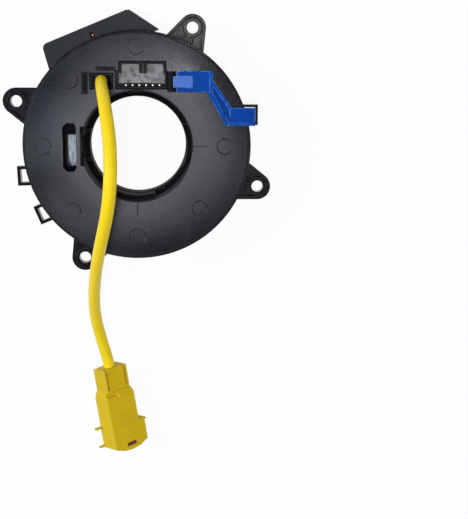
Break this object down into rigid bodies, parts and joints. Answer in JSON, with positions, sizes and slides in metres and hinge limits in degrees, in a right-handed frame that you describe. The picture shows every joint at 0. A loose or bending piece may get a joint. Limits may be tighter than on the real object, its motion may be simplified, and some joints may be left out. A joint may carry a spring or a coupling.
{
  "type": "steering clock spring",
  "caption": "Flat round steering clock spring: a rotor with sockets, a lock clip and an airbag lead turns in a case with screw ears and harness sockets.",
  "frame": {"origin": "centre of the column bore, at the back face of the rear ring", "axes": "+Z along the bore axis towards the steering wheel, +Y towards the connector block, +X to the right seen from the wheel"},
  "size_m": [0.1377, 0.1999, 0.0766],
  "materials": {
    "case_plastic": "moulded black plastic with a slight gloss",
    "cover_plastic": "satin moulded dark blue-grey plastic",
    "rotor_plastic": "satin charcoal moulded plastic",
    "ring_plastic": "smooth dark grey moulded plastic",
    "socket_plastic": "black moulded plastic",
    "insert_plastic": "grey moulded plastic",
    "slip_sheet": "thin low friction film",
    "ribbon": "white flat flexible cable",
    "lead_sleeve": "smooth yellow sleeve",
    "plug_plastic": "yellow moulded plastic",
    "plug_lock_plastic": "dark red moulded plastic",
    "clip_plastic": "blue moulded plastic",
    "pin_metal": "tin plated brass",
    "contact_metal": "plated brass"
  },
  "bodies": {
    "case_body": {"case": "case_plastic", "rear_cover": "cover_plastic", "block_cover": "case_plastic", "main_socket_pins": "pin_metal", "small_socket_pins": "pin_metal", "case_terminal_block": "insert_plastic", "rear_slip_sheet": "slip_sheet", "ribbon_cable": "ribbon"},
    "rotor_body": {"rotor": "rotor_plastic", "front_slip_sheet": "slip_sheet", "ribbon_guide": "socket_plastic", "rear_ring": "ring_plastic", "rotor_terminal_block": "insert_plastic", "rotor_socket": "socket_plastic", "rotor_pins": "pin_metal", "lead_holder": "socket_plastic", "airbag_lead": "lead_sleeve", "plug_body": "plug_plastic", "plug_rear_cap": "plug_plastic", "plug_lock": "plug_lock_plastic", "plug_contacts": "contact_metal", "shorting_spring": "pin_metal"},
    "clip_body": {"lock_clip": "clip_plastic"}
  },
  "joints": [
    {"name": "rotor_turn", "type": "hinge", "parent": "case_body", "child": "rotor_body", "pos_m": [0, 0, 0], "axis": [0, 0, 1], "range_deg": [-900, 900], "deforming": ["ribbon_cable"]},
    {"name": "clip_pull", "type": "slide", "parent": "rotor_body", "child": "clip_body", "axis": [0, 0, 1], "range_m": [0, 0.03]}
  ]
}
